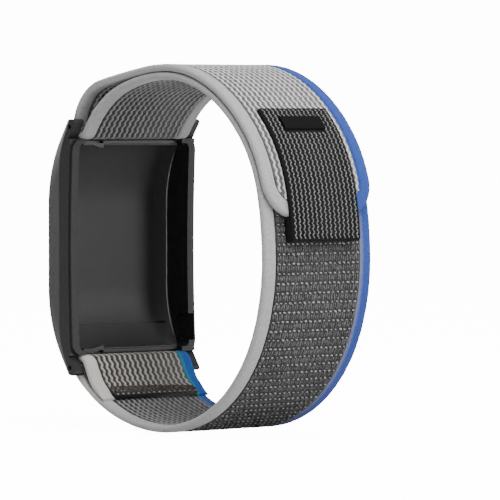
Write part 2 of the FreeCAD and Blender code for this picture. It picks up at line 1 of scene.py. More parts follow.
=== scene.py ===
import math
import bmesh
import bpy
import numpy as np
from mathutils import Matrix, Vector


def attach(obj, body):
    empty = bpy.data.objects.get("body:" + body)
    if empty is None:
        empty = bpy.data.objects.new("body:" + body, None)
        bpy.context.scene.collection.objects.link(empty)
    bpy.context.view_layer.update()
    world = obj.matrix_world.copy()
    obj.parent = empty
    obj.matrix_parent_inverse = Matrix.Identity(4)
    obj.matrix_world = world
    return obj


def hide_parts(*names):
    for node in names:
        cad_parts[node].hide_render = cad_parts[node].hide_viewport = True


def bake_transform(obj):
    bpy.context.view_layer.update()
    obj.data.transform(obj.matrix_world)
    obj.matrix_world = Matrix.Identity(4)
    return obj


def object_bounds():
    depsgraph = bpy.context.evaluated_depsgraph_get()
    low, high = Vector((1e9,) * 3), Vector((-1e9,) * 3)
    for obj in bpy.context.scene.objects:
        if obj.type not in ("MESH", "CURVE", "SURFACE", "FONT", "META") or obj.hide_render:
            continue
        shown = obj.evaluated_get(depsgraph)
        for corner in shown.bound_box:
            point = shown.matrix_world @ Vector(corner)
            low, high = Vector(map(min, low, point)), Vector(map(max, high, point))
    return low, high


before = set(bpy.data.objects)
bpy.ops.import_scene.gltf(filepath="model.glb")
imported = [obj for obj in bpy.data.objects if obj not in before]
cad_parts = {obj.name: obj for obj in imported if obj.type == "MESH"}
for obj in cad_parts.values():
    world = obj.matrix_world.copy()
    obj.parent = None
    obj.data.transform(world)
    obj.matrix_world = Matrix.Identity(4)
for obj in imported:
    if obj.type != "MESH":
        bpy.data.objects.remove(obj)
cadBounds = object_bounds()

# Woven hook-and-loop wristband with its empty tracker case. Lengths are in millimetres until a
# piece is finished. A woven piece is first made flat: x along the strap, y across it towards the
# blue edge, z up from its middle line. Then it is laid along its path.

metre = 1000.0

# A place on the path is (x, z), or (x, z, heading in degrees)
band = {
    "halfWidth": 12.0,
    "halfThick": 0.6,
    "selvedge": 2.7,
    "keel": (-0.3, -31.0),
    "lowerQuarter": (19.85, -22.7, 45.7),
    "side": (28.1, -1.3),
    "upperQuarter": (22.2, 19.8, 129.0),
    "crown": (1.2, 30.2),
    "leaveLowerBar": -42.0,
    "meetUpperBar": 237.0,
    "foldReach": 9.0,
    "foldLiftOff": 6.5,
    "foldMeetsBar": 118.0,
    "foldGap": 0.1,
    "flapGap": 0.2,
    "flapLeavesBar": 81.0,
    "flapJoin": 5.5,
    "tipAboveSide": 7.05,
    "gripPastTip": 3.9,
    "barX": -22.2,
    "barZ": 21.3,
    "wrapRadius": 1.6,
    "blendInset": 0.19,
}


# Paths are chains of (x, z, heading, bend, length), seen along the wrist

def stepAlong(run, distance):
    x, z, heading, bend, _ = run
    if abs(bend) < 1e-9:
        return x + distance * math.cos(heading), z + distance * math.sin(heading), heading
    turned = heading + bend * distance
    newX = x + (math.sin(turned) - math.sin(heading)) / bend
    newZ = z - (math.cos(turned) - math.cos(heading)) / bend
    return newX, newZ, turned


def arcTo(start, x, z):
    chord = math.hypot(x - start[0], z - start[1])
    lean = math.atan2(z - start[1], x - start[0]) - start[2]
    lean = math.remainder(lean, 2 * math.pi)
    if abs(lean) < 1e-7:
        return (*start, 0.0, chord)
    bend = 2 * math.sin(lean) / chord
    return (*start, bend, 2 * lean / bend)


def twoArcs(start, end):
    gap = (end[0] - start[0], end[1] - start[1])
    first = (math.cos(start[2]), math.sin(start[2]))
    last = (math.cos(end[2]), math.sin(end[2]))
    square = gap[0] ** 2 + gap[1] ** 2
    forward = gap[0] * (first[0] + last[0]) + gap[1] * (first[1] + last[1])
    spread = 2 * (1 - first[0] * last[0] - first[1] * last[1])
    if spread < 1e-9:
        reach = square / (2 * forward)
    else:
        reach = (math.sqrt(forward ** 2 + spread * square) - forward) / spread
    middleX = (start[0] + end[0] + reach * (first[0] - last[0])) / 2
    middleZ = (start[1] + end[1] + reach * (first[1] - last[1])) / 2
    one = arcTo(start, middleX, middleZ)
    return [one, arcTo(stepAlong(one, one[4]), end[0], end[1])]


def chainLength(chain):
    return sum(run[4] for run in chain)


def clipChain(chain, start, end):
    kept = []
    passed = 0.0
    for run in chain:
        low = max(start - passed, 0.0)
        high = min(end - passed, run[4])
        if high - low > 1e-6:
            kept.append((*stepAlong(run, low), run[3], high - low))
        passed += run[4]
    return kept


def shiftChain(chain, distance):
    moved = []
    for x, z, heading, bend, length in chain:
        scale = 1 - bend * distance
        newX = x - distance * math.sin(heading)
        newZ = z + distance * math.cos(heading)
        moved.append((newX, newZ, heading, bend / scale, length * scale))
    return moved


def turnBack(chain):
    back = []
    for run in reversed(chain):
        x, z, heading = stepAlong(run, run[4])
        back.append((x, z, heading + math.pi, -run[3], run[4]))
    return back


def barPlace(degrees, barZ, side):
    heading = math.radians(degrees)
    x = band["barX"] + side * band["wrapRadius"] * math.sin(heading)
    z = barZ - side * band["wrapRadius"] * math.cos(heading)
    return x, z, heading


def quarter(name):
    x, z, degrees = band[name]
    return x, z, math.radians(degrees)


def basePath():
    places = [
        barPlace(band["leaveLowerBar"], -band["barZ"], 1),
        (*band["keel"], 0.0),
        quarter("lowerQuarter"),
        (*band["side"], math.pi / 2),
        quarter("upperQuarter"),
        (*band["crown"], math.pi),
        barPlace(band["meetUpperBar"], band["barZ"], -1),
    ]
    chain = []
    marks = []
    for start, end in zip(places, places[1:]):
        chain += twoArcs(start, end)
        marks.append(chainLength(chain))
    return chain, marks[2], marks[4]


def foldPath(base):
    lift = 2 * band["halfThick"] + band["foldGap"]
    lying = clipChain(base, band["foldLiftOff"], band["foldReach"])
    lying = turnBack(shiftChain(lying, lift))
    meets = barPlace(band["foldMeetsBar"], -band["barZ"], 1)
    sweep = math.radians(360 + band["leaveLowerBar"] - band["foldMeetsBar"])
    wrap = (*meets, 1 / band["wrapRadius"], band["wrapRadius"] * sweep)
    return lying + twoArcs(stepAlong(lying[-1], lying[-1][4]), meets) + [wrap]


def turnPath():
    sweep = math.radians(band["meetUpperBar"] - band["flapLeavesBar"])
    start = barPlace(band["meetUpperBar"], band["barZ"], -1)
    return [(*start, -1 / band["wrapRadius"], band["wrapRadius"] * sweep)]


def flapPath(base, atSide, atCrown):
    lift = 2 * band["halfThick"] + band["flapGap"]
    gripEnd = atSide + band["tipAboveSide"] - band["gripPastTip"]
    lying = turnBack(shiftChain(clipChain(base, gripEnd, atCrown + band["flapJoin"]), -lift))
    start = barPlace(band["flapLeavesBar"], band["barZ"], -1)
    grip = clipChain(base, gripEnd, gripEnd + band["gripPastTip"])
    return twoArcs(start, lying[0][:3]) + lying, chainLength(shiftChain(grip, -lift))


basePart, atSide, atCrown = basePath()
foldPart = foldPath(basePart)
strapPath = foldPart + basePart
strapLength = chainLength(strapPath)
strapStart = chainLength(foldPart)
turn = turnPath()
turnLength = chainLength(turn)
flap, gripLength = flapPath(basePart, atSide, atCrown)
gripTip = chainLength(flap)
flapTip = gripTip - gripLength
print("paths laid out, strap", round(strapLength + turnLength + flapTip, 1), "mm")


# Node tree helpers

def newTree(name, inputs):
    tree = bpy.data.node_groups.new(name, "GeometryNodeTree")
    tree.interface.new_socket("Geometry", in_out="INPUT", socket_type="NodeSocketGeometry")
    for label, kind in inputs:
        tree.interface.new_socket(label, in_out="INPUT", socket_type="NodeSocket" + kind)
    tree.interface.new_socket("Geometry", in_out="OUTPUT", socket_type="NodeSocketGeometry")
    return tree, tree.nodes.new("NodeGroupInput").outputs


def addNode(tree, kind, inputs, settings=None):
    node = tree.nodes.new(kind)
    for label, value in (settings or {}).items():
        setattr(node, label, value)
    for label, value in inputs.items():
        if isinstance(value, bpy.types.NodeSocket):
            tree.links.new(value, node.inputs[label])
        else:
            node.inputs[label].default_value = value
    return node


def calc(tree, operation, *values, kind="ShaderNodeMath"):
    return addNode(tree, kind, dict(enumerate(values)), {"operation": operation}).outputs[0]


def vector(tree, x, y, z):
    return addNode(tree, "ShaderNodeCombineXYZ", {"X": x, "Y": y, "Z": z}).outputs[0]


def finishTree(tree, geometry, material):
    real = addNode(tree, "GeometryNodeRealizeInstances", {"Geometry": geometry})
    painted = addNode(tree, "GeometryNodeSetMaterial",
                      {"Geometry": real.outputs[0], "Material": material})
    out = tree.nodes.new("NodeGroupOutput")
    tree.links.new(painted.outputs[0], out.inputs[0])
    return tree


def makeSlabTree():
    floats = ["Start", "Length", "Width", "Low", "High", "Step"]
    tree, given = newTree("flat panel", [(n, "Float") for n in floats] + [("Finish", "Material")])
    depth = calc(tree, "SUBTRACT", given["High"], given["Low"])
    count = calc(tree, "ADD", calc(tree, "DIVIDE", given["Length"], given["Step"]), 2.0)
    cube = addNode(tree, "GeometryNodeMeshCube", {
        "Size": vector(tree, given["Length"], given["Width"], depth), "Vertices X": count})
    midX = calc(tree, "MULTIPLY_ADD", given["Length"], 0.5, given["Start"])
    midZ = calc(tree, "MULTIPLY_ADD", depth, 0.5, given["Low"])
    moved = addNode(tree, "GeometryNodeTransform", {
        "Geometry": cube.outputs[0], "Translation": vector(tree, midX, 0.0, midZ)})
    return finishTree(tree, moved.outputs[0], given["Finish"])


def makeRibTree():
    floats = ["Start", "Length", "Spacing", "Period", "Swing", "Rib Width", "Rib Height",
              "At", "Steps", "Wander"]
    kinds = [("Count", "Int"), ("Sides", "Int")] + [(n, "Float") for n in floats]
    tree, given = newTree("zigzag ribs", kinds + [("Finish", "Material")])
    waves = calc(tree, "DIVIDE", given["Length"], given["Period"])
    count = calc(tree, "MULTIPLY_ADD", waves, given["Steps"], 2.0)
    line = addNode(tree, "GeometryNodeCurvePrimitiveLine", {
        "Start": vector(tree, 0.0, 0.0, 0.0), "End": vector(tree, given["Length"], 0.0, 0.0)})
    fine = addNode(tree, "GeometryNodeResampleCurve", {"Curve": line.outputs[0], "Count": count})
    place = tree.nodes.new("GeometryNodeInputPosition").outputs[0]
    x = addNode(tree, "ShaderNodeSeparateXYZ", {0: place}).outputs["X"]
    half = calc(tree, "MULTIPLY", given["Period"], 0.5)
    share = calc(tree, "DIVIDE", calc(tree, "PINGPONG", x, half), half)
    wave = calc(tree, "MULTIPLY", calc(tree, "MULTIPLY_ADD", share, 2.0, -1.0), given["Swing"])
    zigzag = addNode(tree, "GeometryNodeSetPosition", {
        "Geometry": fine.outputs[0], "Offset": vector(tree, 0.0, wave, 0.0)})
    upright = addNode(tree, "GeometryNodeSetCurveNormal", {"Curve": zigzag.outputs[0]},
                      {"mode": "Z_UP"})
    circle = addNode(tree, "GeometryNodeCurvePrimitiveCircle", {
        "Resolution": given["Sides"], "Radius": 0.5})
    section = addNode(tree, "GeometryNodeTransform", {
        "Geometry": circle.outputs[0],
        "Scale": vector(tree, given["Rib Width"], given["Rib Height"], 1.0)})
    rib = addNode(tree, "GeometryNodeCurveToMesh", {
        "Curve": upright.outputs[0], "Profile Curve": section.outputs[0], "Fill Caps": True})
    reach = calc(tree, "MULTIPLY", calc(tree, "SUBTRACT", given["Count"], 1.0), given["Spacing"])
    firstY = calc(tree, "MULTIPLY", reach, -0.5)
    row = addNode(tree, "GeometryNodeMeshLine", {
        "Count": given["Count"],
        "Start Location": vector(tree, given["Start"], firstY, given["At"]),
        "Offset": vector(tree, 0.0, given["Spacing"], 0.0)})
    copies = addNode(tree, "GeometryNodeInstanceOnPoints", {
        "Points": row.outputs[0], "Instance": rib.outputs[0]})
    real = addNode(tree, "GeometryNodeRealizeInstances", {"Geometry": copies.outputs[0]})
    noise = addNode(tree, "ShaderNodeTexNoise", {"Scale": 0.9, "Detail": 2.0})
    off = calc(tree, "SUBTRACT", noise.outputs["Color"], (0.5, 0.5, 0.5),
               kind="ShaderNodeVectorMath")
    push = calc(tree, "MULTIPLY", off, vector(tree, 0.0, given["Wander"], given["Wander"]),
                kind="ShaderNodeVectorMath")
    loose = addNode(tree, "GeometryNodeSetPosition", {"Geometry": real.outputs[0], "Offset": push})
    return finishTree(tree, loose.outputs[0], given["Finish"])


def makeTuftTree():
    floats = ["Start", "Row Gap", "Column Gap", "At", "Jitter", "Turn", "Spread",
              "Tuft Length", "Tuft Width", "Tuft Height"]
    kinds = [("Rows", "Int"), ("Columns", "Int"), ("Seed", "Int")] + [(n, "Float") for n in floats]
    tree, given = newTree("tufts in rows", kinds + [("Finish", "Material")])
    sizeX = calc(tree, "MULTIPLY", calc(tree, "SUBTRACT", given["Rows"], 1.0), given["Row Gap"])
    gapsAcross = calc(tree, "SUBTRACT", given["Columns"], 1.0)
    sizeY = calc(tree, "MULTIPLY", gapsAcross, given["Column Gap"])
    grid = addNode(tree, "GeometryNodeMeshGrid", {
        "Size X": sizeX, "Size Y": sizeY,
        "Vertices X": given["Rows"], "Vertices Y": given["Columns"]})
    jitter = addNode(tree, "FunctionNodeRandomValue", {
        "Min": (-1.0, -1.0, -0.2), "Max": (1.0, 1.0, 0.2), "Seed": given["Seed"]},
        {"data_type": "FLOAT_VECTOR"})
    push = calc(tree, "SCALE", jitter.outputs[0], kind="ShaderNodeVectorMath")
    tree.links.new(given["Jitter"], push.node.inputs["Scale"])
    midX = calc(tree, "MULTIPLY_ADD", sizeX, 0.5, given["Start"])
    shift = calc(tree, "ADD", push, vector(tree, midX, 0.0, given["At"]),
                 kind="ShaderNodeVectorMath")
    spots = addNode(tree, "GeometryNodeSetPosition", {"Geometry": grid.outputs[0], "Offset": shift})
    ball = addNode(tree, "GeometryNodeMeshIcoSphere", {"Radius": 0.5, "Subdivisions": 1})
    turned = addNode(tree, "FunctionNodeRandomValue", {
        2: calc(tree, "SUBTRACT", given["Turn"], given["Spread"]),
        3: calc(tree, "ADD", given["Turn"], given["Spread"]), "Seed": 11}, {"data_type": "FLOAT"})
    size = addNode(tree, "FunctionNodeRandomValue", {2: 0.7, 3: 1.25, "Seed": 5},
                   {"data_type": "FLOAT"})
    scale = calc(tree, "SCALE", vector(tree, given["Tuft Length"], given["Tuft Width"],
                                       given["Tuft Height"]), kind="ShaderNodeVectorMath")
    tree.links.new(size.outputs[1], scale.node.inputs["Scale"])
    copies = addNode(tree, "GeometryNodeInstanceOnPoints", {
        "Points": spots.outputs[0], "Instance": ball.outputs[0],
        "Rotation": vector(tree, 0.0, 0.0, turned.outputs[1]), "Scale": scale})
    return finishTree(tree, copies.outputs[0], given["Finish"])


def makeRollTree():
    floats = ["Width", "Thickness", "Corner", "Fuzz"]
    tree, given = newTree("rolled edge", [(n, "Float") for n in floats] + [("Finish", "Material")])
    curve = addNode(tree, "GeometryNodeMeshToCurve", {"Mesh": given["Geometry"]})
    upright = addNode(tree, "GeometryNodeSetCurveNormal", {"Curve": curve.outputs[0]},
                      {"mode": "Z_UP"})
    flat = addNode(tree, "GeometryNodeCurvePrimitiveQuadrilateral", {
        "Width": given["Width"], "Height": given["Thickness"]})
    rounded = addNode(tree, "GeometryNodeFilletCurve", {
        "Curve": flat.outputs[0], "Radius": given["Corner"], "Count": 4}, {"mode": "POLY"})
    dense = addNode(tree, "GeometryNodeResampleCurve", {"Curve": rounded.outputs[0], "Count": 24})
    tube = addNode(tree, "GeometryNodeCurveToMesh", {
        "Curve": upright.outputs[0], "Profile Curve": dense.outputs[0], "Fill Caps": True})
    noise = addNode(tree, "ShaderNodeTexNoise", {"Scale": 2.2, "Detail": 3.0})
    off = calc(tree, "SUBTRACT", noise.outputs["Color"], (0.5, 0.5, 0.5),
               kind="ShaderNodeVectorMath")
    push = calc(tree, "SCALE", off, kind="ShaderNodeVectorMath")
    tree.links.new(given["Fuzz"], push.node.inputs["Scale"])
    soft = addNode(tree, "GeometryNodeSetPosition", {"Geometry": tube.outputs[0], "Offset": push})
    return finishTree(tree, soft.outputs[0], given["Finish"])


slabTree = makeSlabTree()
ribTree = makeRibTree()
tuftTree = makeTuftTree()
rollTree = makeRollTree()


def evaluated(tree, values, start=None):
    mesh = start or bpy.data.meshes.new("start")
    holder = bpy.data.objects.new("holder", mesh)
    bpy.context.scene.collection.objects.link(holder)
    modifier = holder.modifiers.new("nodes", "NODES")
    modifier.node_group = tree
    for item in tree.interface.items_tree:
        if item.in_out == "INPUT" and item.name in values:
            value = values[item.name]
            if item.socket_type == "NodeSocketFloat":
                value = float(value)
            modifier[item.identifier] = value
    graph = bpy.context.evaluated_depsgraph_get()
    result = bpy.data.meshes.new_from_object(holder.evaluated_get(graph), depsgraph=graph)
    bpy.data.objects.remove(holder)
    return result


def layAlong(flat, chain):
    placed = np.zeros_like(flat)
    placed[:, 1] = flat[:, 1]
    passed = 0.0
    for index, (x, z, heading, bend, length) in enumerate(chain):
        last = index == len(chain) - 1
        low = -np.inf if index == 0 else passed
        high = np.inf if last else passed + length
        here = (flat[:, 0] >= low) & (flat[:, 0] < high)
        distance = flat[here, 0] - passed
        if index == 0 or last:
            inside = np.clip(distance, 0, length)
        else:
            inside = distance
        turned = heading + bend * inside
        if abs(bend) < 1e-9:
            px = x + inside * math.cos(heading)
            pz = z + inside * math.sin(heading)
        else:
            px = x + (np.sin(turned) - math.sin(heading)) / bend
            pz = z - (np.cos(turned) - math.cos(heading)) / bend
        beyond = distance - inside
        placed[here, 0] = px + beyond * np.cos(turned) - flat[here, 2] * np.sin(turned)
        placed[here, 2] = pz + beyond * np.sin(turned) + flat[here, 2] * np.cos(turned)
        passed += length
    return placed


def makePiece(name, meshes, chain, smooth=True, bend=None):
    joined = bmesh.new()
    finishes = []
    for mesh in meshes:
        before = len(joined.faces)
        joined.from_mesh(mesh)
        finish = [item for item in mesh.materials if item][-1]
        if finish not in finishes:
            finishes.append(finish)
        joined.faces.ensure_lookup_table()
        for face in joined.faces[before:]:
            face.material_index = finishes.index(finish)
            face.smooth = smooth
        bpy.data.meshes.remove(mesh)
    bmesh.ops.recalc_face_normals(joined, faces=joined.faces)
    result = bpy.data.meshes.new(name)
    joined.to_mesh(result)
    joined.free()
    for finish in finishes:
        result.materials.append(finish)
    flat = np.zeros(len(result.vertices) * 3)
    result.vertices.foreach_get("co", flat)
    flat = flat.reshape(-1, 3)
    if bend:
        bend(flat)
    result.attributes.new("flat", "FLOAT_VECTOR", "POINT").data.foreach_set("vector", flat.ravel())
    placed = layAlong(flat, chain) / metre
    result.vertices.foreach_set("co", placed.ravel())
    result.update()
    piece = bpy.data.objects.new(name, result)
    bpy.context.scene.collection.objects.link(piece)
    print(name, len(result.polygons), "faces")
    return piece


def pathMesh(points):
    mesh = bpy.data.meshes.new("line")
    edges = [(i, i + 1) for i in range(len(points) - 1)]
    mesh.from_pydata([(x, y, 0.0) for x, y in points], edges, [])
    return mesh


def moveMesh(mesh, y=0.0, z=0.0):
    for vertex in mesh.vertices:
        vertex.co.y += y
        vertex.co.z += z


# Finishes

def newFinish(name, base, roughness, **constants):
    finish = bpy.data.materials.new(name)
    finish.use_nodes = True
    shader = finish.node_tree.nodes["Principled BSDF"]
    shader.inputs["Base Color"].default_value = (*base, 1.0)
    shader.inputs["Roughness"].default_value = roughness
    for label, value in constants.items():
        shader.inputs[label.replace("_", " ")].default_value = value
    return finish, finish.node_tree, shader


def flatPlace(tree):
    return addNode(tree, "ShaderNodeAttribute", {}, {"attribute_name": "flat"}).outputs["Vector"]


def noiseAt(tree, place, scale, detail=3.0, stretch=(1.0, 1.0, 1.0)):
    mapped = addNode(tree, "ShaderNodeMapping", {"Vector": place, "Scale": stretch})
    return addNode(tree, "ShaderNodeTexNoise", {
        "Vector": mapped.outputs[0], "Scale": scale, "Detail": detail}).outputs[0]


def ramp(tree, value, stops):
    node = addNode(tree, "ShaderNodeValToRGB", {0: value})
    while len(node.color_ramp.elements) < len(stops):
        node.color_ramp.elements.new(0.5)
    for element, (position, color) in zip(node.color_ramp.elements, stops):
        element.position = position
        element.color = (*color, 1.0)
    return node.outputs[0]


def twoTone(tree, value, dark, light):
    return ramp(tree, value, [(0.3, dark), (0.7, light)])


def mixColor(tree, share, first, second, blend="MIX"):
    node = addNode(tree, "ShaderNodeMix", {0: share, 6: first, 7: second},
                   {"data_type": "RGBA", "blend_type": blend})
    return node.outputs[2]


def bumpUp(tree, shader, height, strength, distance):
    node = addNode(tree, "ShaderNodeBump", {
        "Height": height, "Strength": strength, "Distance": distance / metre})
    tree.links.new(node.outputs[0], shader.inputs["Normal"])


moulded = {"fine": 9000.0, "broad": 160.0, "lighter": 1.25, "roughSpread": 0.18, "facing": 0.3}


def mouldedBlack(name, base, roughness, grain, paintedHighlight=None):
    finish, tree, shader = newFinish(name, base, roughness, Specular_IOR_Level=0.28)
    place = addNode(tree, "ShaderNodeTexCoord", {}).outputs["Object"]
    fine = noiseAt(tree, place, moulded["fine"])
    broad = noiseAt(tree, place, moulded["broad"])
    light = tuple(c * moulded["lighter"] for c in base)
    color = mixColor(tree, broad, (*base, 1.0), (*light, 1.0))
    # Painted highlight: a lighter grey band painted into the base colour within a band across y, on
    # faces turned towards +x, fading out towards the pocket's ends
    if paintedHighlight:
        parts = addNode(tree, "ShaderNodeSeparateXYZ", {0: place}).outputs
        facing = addNode(tree, "ShaderNodeNewGeometry", {}).outputs["Normal"]
        towards = addNode(tree, "ShaderNodeSeparateXYZ", {0: facing}).outputs["X"]
        past = calc(tree, "GREATER_THAN", parts["Y"], paintedHighlight["from"] / metre)
        before = calc(tree, "LESS_THAN", parts["Y"], paintedHighlight["to"] / metre)
        inBand = calc(tree, "MULTIPLY", past, before)
        height = calc(tree, "ABSOLUTE", parts["Z"])
        fade = addNode(tree, "ShaderNodeMapRange", {
            "Value": height, "From Min": paintedHighlight["fadeFrom"] / metre,
            "From Max": paintedHighlight["fadeTo"] / metre, "To Min": 1.0, "To Max": 0.0}).outputs[0]
        paintedHighlightMask = calc(tree, "MULTIPLY", calc(tree, "MULTIPLY", inBand, fade),
                    calc(tree, "GREATER_THAN", towards, moulded["facing"]))
        color = mixColor(tree, paintedHighlightMask, color, (paintedHighlight["tone"],) * 3 + (1.0,))
    tree.links.new(color, shader.inputs["Base Color"])
    spread = moulded["roughSpread"]
    rough = calc(tree, "MULTIPLY_ADD", fine, spread, roughness - spread / 2)
    tree.links.new(rough, shader.inputs["Roughness"])
    bumpUp(tree, shader, fine, grain, 0.02)
    return finish


def yarnFinish(name, valley, crest, low, high, tint=None):
    finish, tree, shader = newFinish(name, crest, 0.9, Specular_IOR_Level=0.15,
                                     Sheen_Weight=0.15, Sheen_Roughness=0.5)
    place = flatPlace(tree)
    parts = addNode(tree, "ShaderNodeSeparateXYZ", {0: place}).outputs
    height = calc(tree, "ABSOLUTE", parts["Z"])
    rise = addNode(tree, "ShaderNodeMapRange", {
        "Value": height, "From Min": low, "From Max": high}).outputs[0]
    middle = tuple((a + b) / 2 for a, b in zip(valley, crest))
    color = ramp(tree, rise, [(0.0, valley), (0.55, middle), (1.0, crest)])
    fibre = noiseAt(tree, place, 5.0, 4.0, (0.6, 2.6, 1.0))
    shade = ramp(tree, fibre, [(0.3, (0.55, 0.55, 0.55)), (0.7, (1.25, 1.25, 1.25))])
    color = mixColor(tree, 1.0, color, shade, "MULTIPLY")
    if tint:
        patch = noiseAt(tree, place, 0.9, 2.0, (0.35, 1.0, 1.0))
        hue = ramp(tree, patch, [(0.35, tint[0]), (0.5, (1.0, 1.0, 1.0)), (0.65, tint[1])])
        color = mixColor(tree, 1.0, color, hue, "MULTIPLY")
    tree.links.new(color, shader.inputs["Base Color"])
    bumpUp(tree, shader, fibre, 0.5, 0.08)
    return finish


feltGreys = ((0.17, 0.17, 0.17), (0.4, 0.4, 0.4))
feltBlues = ((0.01, 0.028, 0.16), (0.032, 0.072, 0.31))


def feltFinish(name, dark, light, streak, endTint, sheen=0.2, fade=None, greyFrom=None,
               greyTo=1000.0):
    finish, tree, shader = newFinish(name, light, 0.95, Specular_IOR_Level=0.1,
                                     Sheen_Weight=sheen, Sheen_Roughness=0.6)
    place = flatPlace(tree)
    fuzz = noiseAt(tree, place, 7.0, 5.0)
    slant = addNode(tree, "ShaderNodeMapping", {
        "Vector": place, "Rotation": (0.0, 0.0, 0.6), "Scale": (1.4, 5.0, 2.0)})
    hair = noiseAt(tree, slant.outputs[0], 1.6, 3.0)
    both = calc(tree, "MULTIPLY_ADD", hair, streak, calc(tree, "MULTIPLY", fuzz, 1.0 - streak))
    color = twoTone(tree, both, dark, light)
    parts = addNode(tree, "ShaderNodeSeparateXYZ", {0: place}).outputs
    along = parts["X"]
    if fade:
        ragged = calc(tree, "MULTIPLY_ADD", fuzz, 1.4, parts["Y"])
        inward = addNode(tree, "ShaderNodeMapRange", {
            "Value": ragged, "From Min": fade[0], "From Max": fade[1]}).outputs[0]
        grey = twoTone(tree, both, *feltGreys)
        color = mixColor(tree, inward, mixColor(tree, 0.7, color, grey), color)
    near = addNode(tree, "ShaderNodeMapRange", {
        "Value": along, "From Min": strapStart, "From Max": strapStart + 16.0,
        "To Min": 1.0, "To Max": 0.0}).outputs[0]
    color = mixColor(tree, near, color, mixColor(tree, 1.0, color, (*endTint, 1.0), "MULTIPLY"))
    if greyFrom is not None:
        past = calc(tree, "MULTIPLY", calc(tree, "GREATER_THAN", along, greyFrom),
                    calc(tree, "LESS_THAN", along, greyTo))
        color = mixColor(tree, past, color, twoTone(tree, both, *feltGreys))
    tree.links.new(color, shader.inputs["Base Color"])
    bumpUp(tree, shader, both, 0.8, 0.15)
    return finish


def plainFinish(name, dark, light, roughness, scale, strength, beat=None, **constants):
    finish, tree, shader = newFinish(name, light, roughness, **constants)
    place = flatPlace(tree)
    grain = noiseAt(tree, place, scale, 4.0)
    color = twoTone(tree, grain, dark, light)
    if beat:
        period, slant, low = beat
        parts = addNode(tree, "ShaderNodeSeparateXYZ", {0: place}).outputs
        phase = calc(tree, "MULTIPLY_ADD", parts["X"], 2 * math.pi / period,
                     calc(tree, "MULTIPLY", parts["Y"], slant))
        wave = calc(tree, "MULTIPLY_ADD", calc(tree, "SINE", phase), 0.5, 0.5)
        shade = ramp(tree, wave, [(0.1, (low,) * 3), (0.6, (1.0, 1.0, 1.0))])
        color = mixColor(tree, 1.0, color, shade, "MULTIPLY")
    tree.links.new(color, shader.inputs["Base Color"])
    bumpUp(tree, shader, grain, strength, 0.06)
    return finish


def steelFinish():
    finish, tree, shader = newFinish("drawn steel", (0.62, 0.62, 0.63), 0.28, Metallic=1.0)
    place = addNode(tree, "ShaderNodeTexCoord", {}).outputs["Object"]
    lines = noiseAt(tree, place, 2500.0, 2.0, (1.0, 0.05, 1.0))
    tree.links.new(calc(tree, "MULTIPLY_ADD", lines, 0.2, 0.2), shader.inputs["Roughness"])
    bumpUp(tree, shader, lines, 0.15, 0.01)
    return finish


# Painted highlight: the light line along the far edge of the pocket floor, where it meets the far
# wall, is painted into the case's colour
floorPaintedHighlight = {"from": 12.36, "to": 12.52, "fadeFrom": 13.5, "fadeTo": 17.0, "tone": 0.32}
caseBlack = mouldedBlack("case black", (0.012, 0.012, 0.0125), 0.5, 0.25, floorPaintedHighlight)
frameBlack = mouldedBlack("frame black", (0.009, 0.009, 0.0095), 0.5, 0.2)
lipBlack = mouldedBlack("lip black", (0.012, 0.012, 0.0125), 0.4, 0.15)
steel = steelFinish()
# One webbing in three copies that differ in brightness as painted light and shade: the loop's
# inside, its turn and the hidden back get the dark copy as painted shade, and the flap and the
# sewn-back fold get lighter copies as painted light. The fold's copy also has a random warm, patchy
# tint.
weaveInnerShaded = yarnFinish("grey weave painted shade", (0.01, 0.01, 0.01), (0.27, 0.27, 0.27), 0.42, 0.68)
weaveFlapLit = yarnFinish("flap weave painted light", (0.02, 0.02, 0.02), (0.62, 0.62, 0.62), 0.42, 0.68)
weaveFoldLit = yarnFinish("fold weave painted light", (0.025, 0.022, 0.02), (0.44, 0.42, 0.38), 0.42, 0.68,
                       ((0.95, 0.85, 0.87), (0.93, 1.0, 0.92)))
greyFelt = feltFinish("grey felt", *feltGreys, 0.3, (1.0, 1.0, 1.0))
strapGrey = feltFinish("strap grey felt", *feltGreys, 0.3, (1.35, 1.33, 1.24))
blueFelt = feltFinish("blue felt", *feltBlues, 0.55, (1.0, 1.0, 1.0), 0.08)
strapBlue = feltFinish("strap blue felt", *feltBlues, 0.55, (0.25, 1.3, 1.15), 0.08, (10.0, 10.9),
                       strapStart + atCrown - 2.0)
turnBlue = feltFinish("turn blue felt", *feltBlues, 0.55, (1.0, 1.0, 1.0), 0.08, None,
                      -1.0, 0.6 * turnLength)
pileGround = plainFinish("pile ground", (0.018, 0.018, 0.018), (0.06, 0.06, 0.06), 0.95, 3.5, 0.8,
                         Specular_IOR_Level=0.15)
pileStroke = plainFinish("pile loops", (0.025, 0.025, 0.025), (0.16, 0.16, 0.16), 0.9, 3.0, 0.5,
                         Specular_IOR_Level=0.15)
pileDot = plainFinish("light picks", (0.14, 0.14, 0.135), (0.36, 0.36, 0.34), 0.85, 3.0, 0.3,
                      Specular_IOR_Level=0.2)
tabGround = plainFinish("tab ground", (0.004, 0.004, 0.004), (0.012, 0.012, 0.012), 0.9, 6.0, 0.6,
                        Specular_IOR_Level=0.1)
tabThread = plainFinish("tab thread", (0.075, 0.075, 0.075), (0.25, 0.25, 0.25), 0.85, 4.0, 0.4,
                        (0.49, 3.3, 0.45), Specular_IOR_Level=0.15)
barBlack = plainFinish("pressed black", (0.002, 0.002, 0.002), (0.004, 0.004, 0.004), 0.75, 4.0,
                       0.1, Specular_IOR_Level=0.08)
seamDark = plainFinish("seam thread", (0.01, 0.008, 0.007), (0.05, 0.042, 0.036), 0.85, 6.0, 0.5)
seamLight = plainFinish("seam light thread", (0.1, 0.09, 0.08), (0.22, 0.2, 0.18), 0.85, 6.0, 0.5)
hookBlack = plainFinish("hook plastic", (0.01, 0.01, 0.01), (0.025, 0.025, 0.025), 0.5, 5.0, 0.2)
print("finishes made")


# Woven middle of the strap

